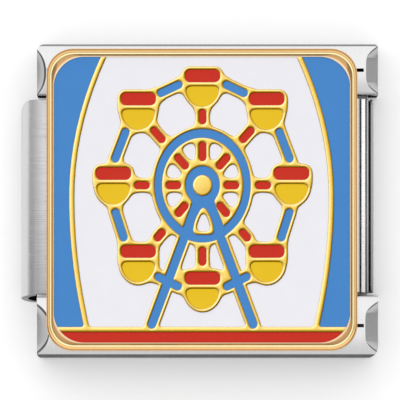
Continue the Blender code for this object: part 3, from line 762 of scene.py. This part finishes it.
def make_rim():
    """The tray with its moulded rim, built ring by ring from the outside in."""
    low, high = mm_box("plaque_tray")
    bm = bmesh.new()
    levels = [(0.0, low.z, PLAQUE_CORNER)]
    levels += [(inset, high.z - drop, corner) for inset, drop, corner in RIM_SECTION]
    levels += [(RIM_WIDTH, low.z + TRAY_THICK, FIELD_CORNER)]
    rings = []
    # Each point keeps its distance in from the outside, which sets the rim's painted light
    inset_layer = bm.verts.layers.float.new("inset")
    for inset, height, corner in levels:
        before = set(bm.edges)
        plaque_ring(bm, inset, corner, height)
        rings.append([edge for edge in bm.edges if edge not in before])
        for vert in {vert for edge in rings[-1] for vert in edge.verts}:
            vert[inset_layer] = inset
    first, last = rings[0], rings[-1]
    keep = {face for ring in (first, last) for edge in ring for face in edge.link_faces}
    bmesh.ops.delete(bm, geom=[f for f in bm.faces if f not in keep], context="FACES_ONLY")
    for outer, inner in zip(rings, rings[1:]):
        bmesh.ops.bridge_loops(bm, edges=outer + inner)
    bmesh.ops.recalc_face_normals(bm, faces=bm.faces)
    rim = object_of(bm, "moulded_rim")
    return finish_piece(rim, "link", "plaque_tray", rose_gold_painted_bands, sharp=50)


def level_faces(bm, level):
    return [f for f in bm.faces if all(abs(v.co.z - level) < LEVEL for v in f.verts)]


def refill(bm, level):
    """Fills a flat side anew, without slivers."""
    flat = level_faces(bm, level)
    inside = set(flat)
    border = {e for f in flat for e in f.edges if any(g not in inside for g in e.link_faces)}
    bmesh.ops.delete(bm, geom=flat, context="FACES")
    bmesh.ops.triangle_fill(bm, edges=list(border), use_beauty=True)


def clean_copy(node):
    """A CAD copy of a flat piece without short edges or slivers."""
    bm = cad_copy(node)
    bmesh.ops.remove_doubles(bm, verts=bm.verts, dist=SHORT_EDGE)
    heights = [v.co.z for v in bm.verts]
    for level in (min(heights), max(heights)):
        refill(bm, level)
    bmesh.ops.recalc_face_normals(bm, faces=bm.faces)
    return bm


def height_at(profile, distance):
    """A profile's height at a distance in from the outline."""
    for (near, low), (far, high) in zip(profile, profile[1:]):
        if distance < far:
            return low + (high - low) * (distance - near) / (far - near)
    return profile[-1][1]


def outline_of(bm, level):
    """Cuts the outline of a flat top into short steps. Returns the top's faces, and for each
    step of the outline its two ends, with the top on the left."""
    top = set(level_faces(bm, level))
    groups = {}
    for edge in bm.edges:
        if len([f for f in edge.link_faces if f in top]) == 1:
            groups.setdefault(int(edge.calc_length() / OUTLINE_STEP), []).append(edge)
    for cuts, edges in groups.items():
        if cuts:
            bmesh.ops.subdivide_edges(bm, edges=edges, cuts=cuts)
    top = level_faces(bm, level)
    inside = set(top)
    steps = [
        (loop.vert, loop.link_loop_next.vert)
        for face in top
        for loop in face.loops
        if any(other not in inside for other in loop.edge.link_faces)
    ]
    return top, steps


def ring_points(steps, profile):
    """Points in from the outline at the profile's distances, each with its own distance."""
    marks = []
    inward = {}
    for start, end in steps:
        along = (end.co - start.co).xy
        normal = Vector((-along.y, along.x)).normalized()
        for vert in (start, end):
            inward[vert] = inward.get(vert, Vector((0.0, 0.0))) + normal
        count = max(1, math.ceil(along.length / MARK_STEP))
        marks += [start.co.xy + along * i / count for i in range(count)]
    tree = KDTree(len(marks))
    for index, mark in enumerate(marks):
        tree.insert(mark.to_3d(), index)
    tree.balance()
    taken = set()
    points = []
    for reach, _ in profile[1:]:
        for vert, normal in inward.items():
            point = vert.co.xy + normal.normalized() * reach
            cell = (round(point.x / POINT_GAP), round(point.y / POINT_GAP))
            distance = tree.find(point.to_3d())[2]
            if cell not in taken and distance > RING_SHARE * reach:
                taken.add(cell)
                points.append((point, distance))
    return points


def draw_top(bm, profile):
    """Draws a flat piece's top anew, so that its height follows the profile in from the
    outline."""
    level = max(v.co.z for v in bm.verts)
    top, steps = outline_of(bm, level)
    bmesh.ops.delete(bm, geom=top, context="FACES")
    points = ring_points(steps, profile)
    verts = list(dict.fromkeys(vert for step in steps for vert in step))
    places = [vert.co.xy for vert in verts] + [point for point, _ in points]
    index = {vert: i for i, vert in enumerate(verts)}
    edges = [(index[start], index[end]) for start, end in steps]
    fixed = {frozenset(edge) for edge in edges}
    made = delaunay_2d_cdt(places, edges, [], 1, TRIANGLE_TOLERANCE)
    first = {out: sources[0] for out, sources in enumerate(made[3]) if sources}
    for vert in verts:
        vert.co.z = level + profile[0][1]
    for point, distance in points:
        verts.append(bm.verts.new((*point, level + height_at(profile, distance))))
    triangles = [[first[i] for i in face] for face in made[2] if all(i in first for i in face)]
    beside = {}
    for number, face in enumerate(triangles):
        for side in map(frozenset, zip(face, face[1:] + face[:1])):
            beside.setdefault(side, []).append(number)
    # Holes are told from gold by walking from ring to ring without crossing the outline
    kept = {n for n, face in enumerate(triangles) if max(face) >= len(index)}
    waiting = list(kept)
    while waiting:
        face = triangles[waiting.pop()]
        for side in map(frozenset, zip(face, face[1:] + face[:1])):
            for other in beside[side]:
                if side not in fixed and other not in kept:
                    kept.add(other)
                    waiting.append(other)
    for number in kept:
        bm.faces.new([verts[i] for i in triangles[number]])
    bmesh.ops.recalc_face_normals(bm, faces=bm.faces)


def make_lines(name, node):
    """Raised gold lines with a rounded crown."""
    bm = clean_copy(node)
    draw_top(bm, LINE_CROWN)
    obj = object_of(bm, name)
    # The gold's tones paint light and shade by the way each part of a crown faces
    return finish_piece(
        obj, "link", node, yellow_gold_painted_sides, sharp=38, weighted=False
    )


def make_enamel(node, colour):
    """Enamel in its cell, which it fills nearly to the shoulders of the lines."""
    rise, reach = (FIELD_RISE, FIELD_REACH) if node in FIELDS else (INLAY_RISE, INLAY_REACH)
    bm = clean_copy(node)
    level = max(v.co.z for v in bm.verts)
    moves = []
    for vert in bm.verts:
        sides = [f.normal * f.calc_area() for f in vert.link_faces if abs(f.normal.z) < 0.5]
        outward = sum(sides, Vector()).normalized() * reach
        moves.append((vert, outward + Vector((0, 0, rise if vert.co.z > level - LEVEL else 0.0))))
    for vert, move in moves:
        vert.co += move
    draw_top(bm, ENAMEL_SKIN)
    obj = object_of(bm, "fired_" + node)
    return finish_piece(obj, "link", node, enamel[colour], sharp=60)


# Stage, light and camera

# Room brightness by how far a direction points up, and by how far it points away
HEIGHT_LIGHT = ((-1, 0.3), (0, 0.40), (0.26, 0.48), (0.64, 0.62), (0.94, 0.90), (1.0, 1.0))
DEPTH_LIGHT = (
    (-1, 0.50),
    (-0.5, 0.55),
    (-0.25, 0.60),
    (-0.10, 0.72),
    (-0.02, 0.93),
    (0.04, 1.0),
    (0.3, 1.0),
    (1, 0.9),
)
ROOM_LIGHT = 1.25
# Soft lights: size and place in millimetres, and power in watts
KEY_LIGHT = (600, (-50, 60, 320), 0.64)
LINE_LIGHT = (600, (-180, 180, 200), 0.8)
RIM_LIGHT = (500, (0, -220, 230), 0.4)
# Half the floor's size, and how far it lies under the link
FLOOR_HALF = 400.0
FLOOR_DROP = 0.004


def make_floor():
    bm = bmesh.new()
    bmesh.ops.create_grid(bm, x_segments=1, y_segments=1, size=FLOOR_HALF)
    bmesh.ops.translate(bm, vec=(0, 0, -FLOOR_DROP), verts=bm.verts)
    floor = object_of(bm, "floor")
    floor.data.transform(Matrix.Scale(MM, 4))
    # A sheet of white acrylic with a faint light behind it, so that shadows stay pale
    material, _, shader, _ = new_material("backlit_white_acrylic")
    shader.inputs["Base Color"].default_value = linear("#F8F8F8")
    shader.inputs["Roughness"].default_value = 0.9
    shader.inputs["Emission Color"].default_value = (1.0, 1.0, 1.0, 1.0)
    shader.inputs["Emission Strength"].default_value = 0.18
    floor.data.materials.append(material)


def make_world():
    """A soft box overhead that falls off to a grey room, darkest towards the viewer."""
    world = bpy.data.worlds.new("soft_room")
    world.use_nodes = True
    bpy.context.scene.world = world
    tree = world.node_tree
    direction = add(tree, "ShaderNodeTexCoord").outputs["Generated"]
    parts = add(tree, "ShaderNodeSeparateXYZ", {"Vector": direction}).outputs
    brightness = ROOM_LIGHT
    for part, stops in (("Z", HEIGHT_LIGHT), ("Y", DEPTH_LIGHT)):
        limits = {"From Min": -1.0, "From Max": 1.0}
        place = add(tree, "ShaderNodeMapRange", {"Value": parts[part], **limits})
        ramp = add(tree, "ShaderNodeValToRGB", {"Fac": place.outputs["Result"]})
        set_stops(ramp, [(value, (grey, grey, grey, 1.0)) for value, grey in stops], -1, 1)
        both = {0: ramp.outputs["Color"], 1: brightness}
        product = add(tree, "ShaderNodeMath", both, operation="MULTIPLY")
        brightness = product.outputs["Value"]
    background = tree.nodes["Background"]
    background.inputs["Color"].default_value = (1.0, 1.0, 1.0, 1.0)
    tree.links.new(brightness, background.inputs["Strength"])


def softbox(name, size, location, power):
    """A square soft light that looks at the link."""
    data = bpy.data.lights.new(name, "AREA")
    data.shape = "SQUARE"
    data.size = size * MM
    data.energy = power
    light = bpy.data.objects.new(name, data)
    light.location = Vector(location) * MM
    light.rotation_euler = (-light.location).to_track_quat("-Z", "Y").to_euler()
    bpy.context.scene.collection.objects.link(light)
    return light


def make_lights():
    """A very broad soft light overhead, one at the upper left that only the lines catch and
    one in front for the rim. Returns what the last two shine on."""
    key = softbox("key_softbox", *KEY_LIGHT)
    key.visible_glossy = False
    lit = []
    for name, settings in (("line_softbox", LINE_LIGHT), ("rim_softbox", RIM_LIGHT)):
        light = softbox(name, *settings)
        lit.append(bpy.data.collections.new("lit_by_" + name))
        light.light_linking.receiver_collection = lit[-1]
    return lit


# The photo's width in pixels, how many of them show a millimetre, and its width in millimetres
PHOTO_PIXELS = 400
PIXELS_PER_MM = 34.84
PHOTO_WIDTH = PHOTO_PIXELS / PIXELS_PER_MM
CAMERA_TARGET = Vector((0.019, 0.029, 2.3)) * MM
CAMERA_ELEVATION = math.radians(88.8)
CAMERA_DISTANCE = 250 * MM


def make_camera():
    data = bpy.data.cameras.new("camera")
    data.type = "PERSP"
    data.sensor_width = 36.0
    data.lens = data.sensor_width * CAMERA_DISTANCE / (PHOTO_WIDTH * MM)
    data.clip_start = 10 * MM
    data.clip_end = 10.0
    camera = bpy.data.objects.new("camera", data)
    back = Vector((0, -math.cos(CAMERA_ELEVATION), math.sin(CAMERA_ELEVATION)))
    camera.location = CAMERA_TARGET + back * CAMERA_DISTANCE
    camera.rotation_euler = (-back).to_track_quat("-Z", "Y").to_euler()
    bpy.context.scene.collection.objects.link(camera)
    bpy.context.scene.camera = camera


# Build

bpy.context.scene.view_settings.view_transform = "Standard"
make_camera()
make_world()
lit_lines, lit_rim = make_lights()
make_floor()

make_case()
hook_finishes = (pressed, sheared, painted_shade_inside)
make_from_cad(
    "rolled_hook", "sliding_hook", "hook", hook_finishes, 0.02, finish_of_hook
)
make_from_cad("catch_plate", "back_plate", "link", (satin,), 0.02)
make_from_cad("stop_strip", "stop_bar", "link", (bright,), 0.004)
make_from_cad("spring_strip", "spring_leaf", "link", (spring,), 0.004)
lit_rim.objects.link(make_rim())
for name, node in (
    ("picture_lines", "gold_lines"),
    ("wheel_lines", "wheel_inner_lines"),
    ("triangle_lines", "brace_lines"),
    ("hub_boss", "hub_disc"),
):
    lit_lines.objects.link(make_lines(name, node))
for node in sorted(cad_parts):
    colour = next((c for start, c in COLOURS.items() if node.startswith(start)), None)
    if colour:
        make_enamel(node, colour)
